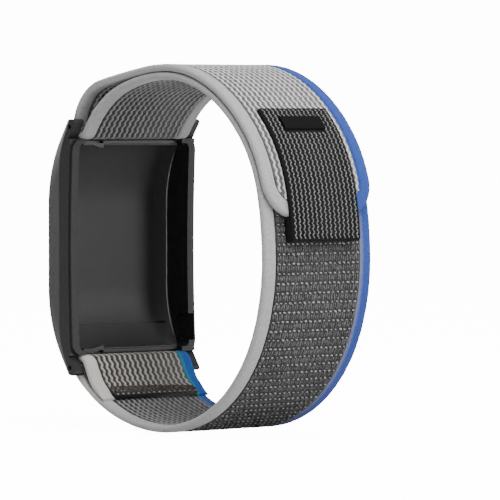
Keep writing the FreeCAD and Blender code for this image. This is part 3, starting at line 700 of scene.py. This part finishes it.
weave = {
    "ribs": 16,
    "spacing": 1.165,
    "period": 1.4,
    "swing": 0.2,
    "ribWidth": 0.62,
    "ribHeight": 0.5,
    "steps": 6.0,
    "sides": 6,
    "ground": 0.46,
    "panelStep": 1.0,
    "wander": 0.12,
    "proud": 0.06,
    "overlap": 0.1,
    "stripLap": 0.05,
    "backSteps": 4.0,
    "turnStep": 0.25,
    "turnWander": 0.06,
    "foldFrom": 0.02,
    "foldShown": 10.6,
    "underFold": 4.0,
    "pastCrown": 11.9,
}
bodyHalf = band["halfWidth"] - band["selvedge"]
panelWidth = 2 * bodyHalf + weave["overlap"]
edge = {
    "width": 2.66, "thickness": 1.3, "corner": 0.6, "step": 0.7, "fuzz": 0.14, "tipCorner": 6.5,
    "pressed": 3.0, "pressedTo": 0.35, "turnStep": 0.2, "turnFuzz": 0.05,
}


def panel(start, end, width, low, high, finish, step=weave["panelStep"]):
    return evaluated(slabTree, {
        "Start": start, "Length": end - start, "Width": width,
        "Low": low, "High": high, "Step": step, "Finish": finish})


def ribs(start, end, face, finish, **changes):
    values = {**weave, **changes}
    return evaluated(ribTree, {
        "Start": start, "Length": end - start, "Count": values["ribs"], "Sides": values["sides"],
        "Spacing": values["spacing"], "Period": values["period"], "Swing": values["swing"],
        "Rib Width": values["ribWidth"], "Rib Height": values["ribHeight"],
        "At": face * (band["halfThick"] - values["ribHeight"] / 2 + values["proud"]),
        "Steps": values["steps"], "Wander": values["wander"], "Finish": finish})


def makeStrapWeave():
    ground = weave["ground"]
    foldShown = strapStart + weave["foldShown"]
    pileEnd = strapStart + atCrown + weave["pastCrown"]
    piece = makePiece("woven_strap", [
        panel(0.0, strapLength, panelWidth, -ground, ground, weaveInnerShaded),
        ribs(strapStart - weave["underFold"], strapLength, 1, weaveInnerShaded),
        ribs(weave["foldFrom"], foldShown, -1, weaveFoldLit),
        ribs(pileEnd, strapLength, -1, weaveInnerShaded, steps=weave["backSteps"]),
    ], strapPath)
    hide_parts("strap_core")
    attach(piece, "case")


def makeTurnWeave():
    ground = weave["ground"]
    wander = weave["turnWander"]
    piece = makePiece("woven_turn", [
        panel(0.0, turnLength, panelWidth, -ground, ground, weaveInnerShaded, weave["turnStep"]),
        ribs(0.0, turnLength, 1, weaveInnerShaded, wander=wander),
        ribs(0.0, turnLength, -1, weaveInnerShaded, wander=wander),
    ], turn)
    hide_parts("turn_core")
    bendAtBar(piece)


def bendAtBar(piece):
    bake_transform(piece)


def bodyEnd(y):
    inner = flapTip - band["selvedge"]
    radius = edge["tipCorner"] - band["selvedge"]
    past = abs(y) - (bodyHalf - radius)
    if past <= 0:
        return inner
    return inner - radius + math.sqrt(max(radius ** 2 - past ** 2, 0.0))


def makeFlapWeave():
    ground = weave["ground"]
    radius = edge["tipCorner"] - band["selvedge"]
    square = flapTip - band["selvedge"] - radius
    meshes = [
        panel(0.0, square, panelWidth, -ground, ground, weaveFlapLit),
        ribs(0.0, square, 1, weaveFlapLit),
        ribs(0.0, square, -1, weaveFlapLit, steps=weave["backSteps"]),
    ]
    strips = 8
    for k in range(strips):
        start = square + radius * k / strips
        end = square + radius * (k + 1) / strips
        reach = bodyHalf - radius + math.sqrt(radius ** 2 - (start - square) ** 2)
        meshes.append(panel(start, end + weave["stripLap"], 2 * reach, -ground, ground, weaveFlapLit))
    for k in range(weave["ribs"]):
        y = (k - (weave["ribs"] - 1) / 2) * weave["spacing"]
        rib = ribs(square, bodyEnd(y), 1, weaveFlapLit, ribs=1)
        moveMesh(rib, y=y)
        meshes.append(rib)
    piece = makePiece("woven_flap", meshes, flap)
    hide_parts("flap_core")
    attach(piece, "flap")


makeStrapWeave()
makeTurnWeave()
makeFlapWeave()
print("weave laid")


# Brushed selvedges

def roll(points, finish, **changes):
    size = {**edge, **changes}
    return evaluated(rollTree, {
        "Width": size["width"], "Thickness": size["thickness"], "Corner": size["corner"],
        "Fuzz": size["fuzz"], "Finish": finish}, pathMesh(points))


def straightLine(start, end, y, step):
    count = max(2, int((end - start) / step) + 1)
    return [(start + (end - start) * k / (count - 1), y) for k in range(count)]


def tipLine(side, step):
    half = edge["width"] / 2
    middle = band["halfWidth"] - half
    radius = edge["tipCorner"] - half
    centre = (flapTip - edge["tipCorner"], side * (band["halfWidth"] - edge["tipCorner"]))
    points = straightLine(0.0, centre[0], side * middle, step)[:-1]
    turns = 10
    for k in range(turns + 1):
        angle = math.pi / 2 * k / turns
        points.append((centre[0] + radius * math.sin(angle),
                       centre[1] + side * radius * math.cos(angle)))
    last = points[-1]
    count = 8
    for k in range(1, count + 1):
        points.append((last[0], last[1] * (1 - k / count)))
    return points


def pressEnd(mesh):
    top = band["halfThick"]
    low = edge["pressedTo"]
    for vertex in mesh.vertices:
        share = min(max(vertex.co.x / edge["pressed"], 0.0), 1.0)
        share = share * share * (3 - 2 * share)
        vertex.co.z = top - (top - vertex.co.z) * (low + (1 - low) * share)


def makeSelvedges():
    middle = band["halfWidth"] - edge["width"] / 2
    for name, side, strapFinish, turnFinish, flapFinish in (
            ("grey", -1, strapGrey, greyFelt, greyFelt),
            ("blue", 1, strapBlue, turnBlue, blueFelt)):
        whole = roll(straightLine(0.0, strapLength, side * middle, edge["step"]), strapFinish)
        pressEnd(whole)
        strapEdge = makePiece("selvedge_" + name, [whole], strapPath)
        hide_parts("strap_edge_" + name)
        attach(strapEdge, "case")
        turnEdge = makePiece("turn_selvedge_" + name, [
            roll(straightLine(0.0, turnLength, side * middle, edge["turnStep"]), turnFinish,
                 fuzz=edge["turnFuzz"])], turn)
        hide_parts("turn_edge_" + name)
        bendAtBar(turnEdge)
        flapEdge = makePiece("flap_selvedge_" + name, [
            roll(tipLine(side, edge["step"]), flapFinish)], flap)
        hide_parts("flap_edge_" + name)
        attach(flapEdge, "flap")


makeSelvedges()
print("selvedges rolled")


# Loop pile on the strap's outer face

pile = {
    "start": 10.5, "pastCrown": 12.0, "rowGap": 1.65, "dotGap": 1.03, "strokeGap": 0.5,
    "firstRow": 0.6, "groundLow": -0.5, "groundHigh": -0.3, "dotAt": -0.6, "strokeAt": -0.53,
    "dot": (0.34, 0.66, 0.24), "stroke": (1.35, 0.34, 0.3),
}


def tufts(start, rows, rowGap, columns, columnGap, at, size, finish, **changes):
    values = {"Jitter": 0.08, "Turn": 0.0, "Spread": 0.3, "Seed": 3, **changes}
    return evaluated(tuftTree, {
        "Start": start, "Rows": rows, "Row Gap": rowGap, "Columns": columns,
        "Column Gap": columnGap, "At": at, "Tuft Length": size[0], "Tuft Width": size[1],
        "Tuft Height": size[2], "Finish": finish, **values})


def makePile():
    start = strapStart + pile["start"]
    end = strapStart + atCrown + pile["pastCrown"]
    rows = int((end - start) / pile["rowGap"])
    dots = int(2 * bodyHalf / pile["dotGap"])
    strokes = int(2 * bodyHalf / pile["strokeGap"])
    first = start + pile["firstRow"]
    piece = makePiece("loop_pile", [
        panel(start, end, panelWidth, pile["groundLow"], pile["groundHigh"], pileGround),
        tufts(first, rows, pile["rowGap"], dots, pile["dotGap"], pile["dotAt"], pile["dot"],
              pileDot, Turn=0.25, Jitter=0.06, Spread=0.25),
        tufts(first + pile["rowGap"] / 2, rows - 1, pile["rowGap"], strokes, pile["strokeGap"],
              pile["strokeAt"], pile["stroke"], pileStroke, Jitter=0.1, Spread=0.25, Seed=8),
    ], strapPath)
    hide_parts("strap_pile")
    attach(piece, "case")


# Hooks under the flap

hooks = {
    "length": 14.0, "fromTip": 3.6, "rowGap": 0.9, "columnGap": 0.85, "stem": (0.22, 0.3, 0.34),
    "firstRow": 0.5, "seat": 0.02, "tapeTop": 0.16, "tapeShort": 1.2, "tapeNarrow": 0.6,
}


def makeHooks():
    end = flapTip - hooks["fromTip"]
    start = end - hooks["length"]
    rows = int(hooks["length"] / hooks["rowGap"])
    columns = int(2 * bodyHalf / hooks["columnGap"])
    low = -band["halfThick"]
    piece = makePiece("hook_tape", [
        panel(start, end - hooks["tapeShort"], 2 * bodyHalf - hooks["tapeNarrow"],
              low + hooks["seat"], low + hooks["tapeTop"], hookBlack),
        tufts(start + hooks["firstRow"], rows - 2, hooks["rowGap"], columns, hooks["columnGap"],
              low - hooks["seat"], hooks["stem"], hookBlack, Jitter=0.02, Spread=0.1),
    ], flap)
    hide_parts("hook_patch")
    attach(piece, "flap")


# Dense seam across the sewn-back end

seam = {
    "fromEnd": 0.2, "length": 2.2, "width": 18.0, "proud": 0.16, "sunk": 0.1, "step": 0.5,
    "taper": 0.4, "bow": 0.25, "bowSweep": 3.1,
    "dark": {"first": 0.35, "rows": 4, "rowGap": 0.5, "columns": 62, "columnGap": 0.29,
             "proud": 0.17, "stitch": (0.95, 0.26, 0.28)},
    "light": {"first": 0.5, "rows": 3, "rowGap": 0.6, "columns": 30, "columnGap": 0.6,
              "proud": 0.2, "stitch": (0.5, 0.2, 0.2)},
}


def taperSeam(flat):
    across = (flat[:, 1] + seam["width"] / 2) / seam["width"]
    narrow = 1 - seam["taper"] * np.clip(across, 0, 1)
    bow = seam["bow"] * np.sin(seam["bowSweep"] * across)
    flat[:, 0] = seam["fromEnd"] + (flat[:, 0] - seam["fromEnd"]) * narrow + bow


def stitches(start, top, kind, finish, **changes):
    return tufts(start + kind["first"], kind["rows"], kind["rowGap"], kind["columns"],
                 kind["columnGap"], top - kind["proud"], kind["stitch"], finish, **changes)


def makeSeam():
    start = seam["fromEnd"]
    top = -band["halfThick"]
    piece = makePiece("bar_tack", [
        panel(start, start + seam["length"], seam["width"], top - seam["proud"],
              top + seam["sunk"], seamDark, seam["step"]),
        stitches(start, top, seam["dark"], seamDark, Jitter=0.12, Spread=0.7, Seed=21),
        stitches(start, top, seam["light"], seamLight, Jitter=0.3, Spread=1.2, Seed=33),
    ], strapPath, bend=taperSeam)
    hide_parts("end_seam")
    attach(piece, "case")


# Pull tab and its pressed bar

tab = {
    "width": 15.0, "onFlap": 19.9, "seat": 0.05, "thickness": 0.9, "columns": 15, "spacing": 0.98,
    "period": 0.98, "swing": 0.2, "thread": 0.25, "threadHeight": 0.3, "threadDrop": 0.12,
    "sides": 5, "steps": 5.0, "wander": 0.05, "wingColumns": 3, "panelStep": 0.7,
    "groundDrop": 0.1, "groundFromTip": 0.6, "pastFlap": 0.1,
    "firstThread": 0.3, "clearOfBar": 0.2, "end": 0.5,
    "nose": {"fromTip": 0.75, "width": 1.5, "corner": 0.72, "fuzz": 0.02},
    "border": {"fromTop": 0.1, "inset": 0.2, "width": 0.5, "corner": 0.2, "fuzz": 0.03},
    "bar": {"width": 9.0, "length": 2.7, "fromTop": 2.0, "height": 0.35, "sunk": 0.3,
            "corner": 0.3},
}


def makeTab():
    low = band["halfThick"] + tab["seat"]
    high = low + tab["thickness"]
    ground = high - tab["groundDrop"]
    start = flapTip - tab["onFlap"]
    aboveBar = start + tab["bar"]["fromTop"] - tab["clearOfBar"]
    belowBar = start + tab["bar"]["fromTop"] + tab["bar"]["length"] + tab["end"]
    groundEnd = gripTip - tab["groundFromTip"]
    threadEnd = gripTip - tab["end"]
    nose = tab["nose"]
    noseAt = gripTip - nose["fromTip"]
    noseMesh = roll([(noseAt, -tab["width"] / 2), (noseAt, tab["width"] / 2)], tabGround,
                    width=nose["width"], thickness=high + band["halfThick"] - tab["groundDrop"],
                    corner=nose["corner"], fuzz=nose["fuzz"])
    moveMesh(noseMesh, z=(high - tab["groundDrop"] - band["halfThick"]) / 2)
    face = high - tab["threadDrop"]
    meshes = [
        panel(start, groundEnd, tab["width"], low, ground, tabGround, tab["panelStep"]),
        panel(flapTip + tab["pastFlap"], groundEnd, tab["width"], -band["halfThick"], low,
              tabGround, tab["panelStep"]),
        noseMesh,
        threads(belowBar, threadEnd, tab["columns"], face),
        threads(start + tab["firstThread"], aboveBar, tab["columns"], face),
    ]
    border = tab["border"]
    for side in (-1, 1):
        offset = side * (tab["spacing"] * (tab["columns"] - tab["wingColumns"]) / 2)
        meshes.append(threads(aboveBar, belowBar, tab["wingColumns"], face, offset))
        borderY = side * (tab["width"] / 2 - border["inset"])
        borderMesh = roll([(start + border["fromTop"], borderY), (threadEnd, borderY)], tabGround,
                          width=border["width"], thickness=tab["thickness"],
                          corner=border["corner"], fuzz=border["fuzz"])
        moveMesh(borderMesh, z=(low + high) / 2)
        meshes.append(borderMesh)
    piece = makePiece("ribbed_tab", meshes, flap)
    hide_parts("pull_tab")
    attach(piece, "flap")


def threads(start, end, columns, face, offset=0.0):
    mesh = evaluated(ribTree, {
        "Start": start, "Length": end - start, "Count": columns, "Sides": tab["sides"],
        "Spacing": tab["spacing"], "Period": tab["period"], "Swing": tab["swing"],
        "Rib Width": tab["thread"], "Rib Height": tab["threadHeight"], "At": face,
        "Steps": tab["steps"], "Wander": tab["wander"], "Finish": tabThread})
    moveMesh(mesh, y=offset)
    return mesh


def makeTabBar():
    bar = tab["bar"]
    high = band["halfThick"] + tab["seat"] + tab["thickness"]
    start = flapTip - tab["onFlap"] + bar["fromTop"]
    middle = start + bar["length"] / 2
    mesh = roll([(middle, -bar["width"] / 2), (middle, 0.0), (middle, bar["width"] / 2)], barBlack,
                width=bar["length"], thickness=bar["height"] + bar["sunk"],
                corner=bar["corner"], fuzz=0.0)
    moveMesh(mesh, z=high + bar["height"] / 2 - bar["sunk"] / 2)
    piece = makePiece("pressed_bar", [mesh], flap)
    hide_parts("tab_bar")
    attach(piece, "flap")


makePile()
makeHooks()
makeSeam()
makeTab()
makeTabBar()
print("pile, hooks, seam and tab made")


# Case, frame, lips, fingers and spring bars keep their own shapes

finishOf = {
    "case_shell": caseBlack, "pocket_frame": frameBlack,
    "upper_retainer": lipBlack, "lower_retainer": lipBlack,
    "upper_snap_finger": lipBlack, "lower_snap_finger": lipBlack,
}
barEnds = ("upper", "lower")
for end in barEnds:
    for part in ("tube", "spring", "tip_near", "tip_far"):
        finishOf[f"{end}_bar_{part}"] = steel
for name, finish in finishOf.items():
    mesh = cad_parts[name].data
    mesh.materials.clear()
    mesh.materials.append(finish)
print("hard parts finished")


# Coil springs in two halves, one from the bar's middle out to each tip

coil = {"radius": 0.36, "wire": 0.12, "turns": 20, "stepsPerTurn": 12}


def makeCoil(end, side):
    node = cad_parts[end + "_bar_spring"]
    half = max(vertex.co.y for vertex in node.data.vertices) - coil["wire"] / 2 / metre
    height = band["barZ"] * (1 if end == "upper" else -1)
    steps = coil["turns"] * coil["stepsPerTurn"] // 2
    line = bpy.data.curves.new("coil line", "CURVE")
    line.dimensions = "3D"
    line.bevel_depth = coil["wire"] / 2 / metre
    line.bevel_resolution = 1
    line.use_fill_caps = True
    run = line.splines.new("POLY")
    run.points.add(steps)
    for k, point in enumerate(run.points):
        share = k / steps
        angle = side * share * math.pi * coil["turns"]
        point.co = ((band["barX"] + coil["radius"] * math.cos(angle)) / metre, side * share * half,
                    (height + coil["radius"] * math.sin(angle)) / metre, 1.0)
    holder = bpy.data.objects.new("holder", line)
    bpy.context.scene.collection.objects.link(holder)
    graph = bpy.context.evaluated_depsgraph_get()
    mesh = bpy.data.meshes.new_from_object(holder.evaluated_get(graph), depsgraph=graph)
    bpy.data.objects.remove(holder)
    mesh.materials.clear()
    mesh.materials.append(steel)
    for face in mesh.polygons:
        face.use_smooth = True
    where = "far" if side > 0 else "near"
    piece = bpy.data.objects.new(f"{end}_coil_{where}", mesh)
    bpy.context.scene.collection.objects.link(piece)
    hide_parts(end + "_bar_spring")
    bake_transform(piece)


for end in barEnds:
    for side in (-1, 1):
        makeCoil(end, side)
print("springs coiled")


# Floor, light and camera

view = {"azimuth": 50.0, "elevation": 1.8, "distance": 778.0, "lens": 320.4,
        "aimRight": 6.74, "aimUp": -0.2, "seen": 14.0, "ambient": 0.38}
paleFloor = {"size": 3.0, "gap": 0.0006, "tone": 0.7, "litShare": 0.9}


def addArea(name, place, aim, size, power):
    light = bpy.data.lights.new(name, "AREA")
    light.size = size
    light.energy = power
    lamp = bpy.data.objects.new(name, light)
    lamp.location = place
    lamp.rotation_euler = (Vector(aim) - Vector(place)).to_track_quat("-Z", "Y").to_euler()
    bpy.context.scene.collection.objects.link(lamp)


def makeStage():
    lowest = cadBounds[0][2] - paleFloor["gap"]
    size = paleFloor["size"]
    mesh = bpy.data.meshes.new("floor")
    corners = [(-size, -size, lowest), (size, -size, lowest),
               (size, size, lowest), (-size, size, lowest)]
    mesh.from_pydata(corners, [], [(0, 1, 2, 3)])
    paper, nodes, shader = newFinish("pale floor", (paleFloor["tone"],) * 3, 0.9)
    shader.inputs["Emission Color"].default_value = (1.0, 1.0, 1.0, 1.0)
    straight = addNode(nodes, "ShaderNodeLightPath", {}).outputs["Is Camera Ray"]
    shown = view["seen"] - paleFloor["litShare"] * view["ambient"]
    glow = calc(nodes, "MULTIPLY", straight, shown)
    nodes.links.new(glow, shader.inputs["Emission Strength"])
    mesh.materials.append(paper)
    floor = bpy.data.objects.new("floor", mesh)
    bpy.context.scene.collection.objects.link(floor)
    world = bpy.data.worlds.new("studio")
    world.use_nodes = True
    tree = world.node_tree
    seen = addNode(tree, "ShaderNodeLightPath", {}).outputs["Is Camera Ray"]
    brightness = calc(tree, "MULTIPLY_ADD", seen, view["seen"] - view["ambient"], view["ambient"])
    tree.links.new(brightness, tree.nodes["Background"].inputs["Strength"])
    tree.nodes["Background"].inputs["Color"].default_value = (1.0, 1.0, 1.0, 1.0)
    bpy.context.scene.world = world


def makeCamera():
    azimuth = math.radians(view["azimuth"])
    elevation = math.radians(view["elevation"])
    back = Vector((math.sin(azimuth) * math.cos(elevation),
                   -math.cos(azimuth) * math.cos(elevation), math.sin(elevation)))
    right = Vector((math.cos(azimuth), math.sin(azimuth), 0.0))
    up = back.cross(right)
    aim = (right * view["aimRight"] + up * view["aimUp"]) / metre
    data = bpy.data.cameras.new("camera")
    data.lens = view["lens"]
    data.sensor_width = 36.0
    data.clip_end = 20.0
    camera = bpy.data.objects.new("camera", data)
    camera.location = aim + back * view["distance"] / metre
    camera.rotation_euler = (-back).to_track_quat("-Z", "Y").to_euler()
    bpy.context.scene.collection.objects.link(camera)
    bpy.context.scene.camera = camera


# Each light is (place, aim, size, power), in metres and watts
lights = {
    "pocketSheen": ((0.52, 0.43, 0.12), (-0.028, 0.0, 0.0), 0.22, 2.0),
    "key": ((0.65, -0.2, 0.45), (0.0, 0.0, 0.0), 0.5, 5.0),
    "back": ((-0.9, 0.02, 0.12), (-0.02, 0.0, 0.0), 0.3, 1.2),
    "top": ((0.3, -0.05, 0.85), (0.0, 0.0, 0.0), 0.5, 12.0),
}
for name, (place, aim, size, power) in lights.items():
    addArea(name, place, aim, size, power)
makeStage()
makeCamera()
print("stage set")
